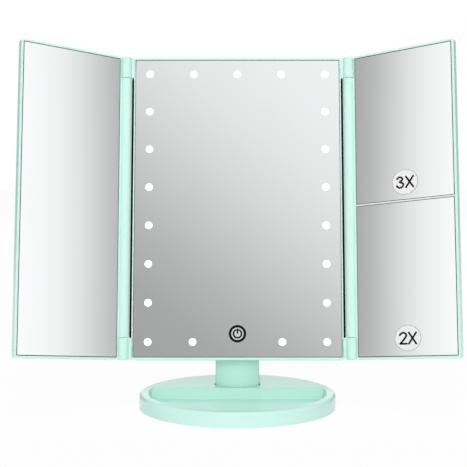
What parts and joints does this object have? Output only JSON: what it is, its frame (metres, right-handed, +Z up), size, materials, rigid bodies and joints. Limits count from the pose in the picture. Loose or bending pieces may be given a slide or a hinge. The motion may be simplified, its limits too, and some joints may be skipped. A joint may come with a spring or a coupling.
{
  "type": "lighted vanity mirror",
  "caption": "Folding table-top vanity mirror with lights round a centre glass, two swinging wings with flat and magnifying glass, and a tilting head on a tray base.",
  "frame": {"origin": "centre of the oval base, at the undersides of the feet", "axes": "+Z up, the viewer stands on -Y, +X to the viewer's right, along the open wings"},
  "size_m": [0.3224, 0.1286, 0.2745],
  "materials": {
    "mint_plastic": "moulded ABS, satin gloss",
    "silvered_glass": "silvered flat glass",
    "silvered_acrylic": "acrylic magnifier, silvered on its rounded back",
    "opal_acrylic": "opal acrylic",
    "black_plastic": "black plastic strip",
    "black_print": "screen print",
    "white_print": "screen print",
    "white_plastic": "white reflective plastic",
    "steel": "zinc plated steel",
    "rubber": "soft rubber pad",
    "nylon": "natural nylon",
    "circuit_board": "white solder mask on glass epoxy",
    "green_board": "green solder mask on glass epoxy",
    "light_chip": "light chip, emissive",
    "component": "moulded component",
    "nickel": "nickel plated spring steel",
    "copper": "copper foil",
    "cell_jacket": null,
    "tape": "double-sided foam tape",
    "foam": "conducting foam",
    "red_insulation": "wire insulation"
  },
  "bodies": {
    "stand": {"base_tray": "mint_plastic", "base_plate": "mint_plastic", "foot_pads": "rubber", "plate_screws": "steel", "base_weights": "steel", "neck_post": "mint_plastic", "neck_screws": "steel", "friction_washers": "nylon"},
    "head": {"spring_washers": "steel", "tilt_pin": "steel", "tilt_nut": "steel", "front_frame": "mint_plastic", "hinge_pins": "steel", "buffer_strips": "black_plastic", "centre_mirror": "silvered_glass", "light_diffuser": "opal_acrylic", "mirror_tape": "tape", "led_board": "circuit_board", "led_chips": "light_chip", "led_carrier": "white_plastic", "touch_pad": "copper", "touch_contact": "foam", "touch_mark": "black_print", "rear_cover": "mint_plastic", "cover_screws": "steel", "battery_cells": "cell_jacket", "battery_contacts": "nickel", "control_board": "green_board", "board_parts": "component", "board_screws": "steel", "usb_socket": "nickel", "led_leads": "red_insulation", "battery_leads": "red_insulation"},
    "left_wing": {"left_wing_frame": "mint_plastic", "left_wing_back": "mint_plastic", "left_mirror": "silvered_glass", "left_mirror_tape": "tape"},
    "right_wing": {"right_wing_frame": "mint_plastic", "right_wing_back": "mint_plastic", "magnifier_3x": "silvered_acrylic", "magnifier_2x": "silvered_acrylic", "mirror_divider": "white_plastic", "badge_3x": "white_print", "badge_2x": "white_print", "right_mirror_tape": "tape"},
    "battery_door": {"battery_door": "mint_plastic"}
  },
  "joints": [
    {"name": "head_tilt", "type": "hinge", "parent": "stand", "child": "head", "pos_m": [0, 0.0225, 0.0392], "axis": [-1, 0, 0], "range_deg": [-23.5, 76.5]},
    {"name": "left_wing_hinge", "type": "hinge", "parent": "head", "child": "left_wing", "pos_m": [-0.086, 0.02723, 0.15016], "axis": [0, 0.2334, 0.9724], "range_deg": [-32, 148]},
    {"name": "right_wing_hinge", "type": "hinge", "parent": "head", "child": "right_wing", "pos_m": [0.086, 0.02723, 0.15016], "axis": [0, -0.2334, -0.9724], "range_deg": [-32, 148]},
    {"name": "battery_door_slide", "type": "slide", "parent": "head", "child": "battery_door", "axis": [0, 0.2334, 0.9724], "range_m": [0, 0.05]}
  ]
}
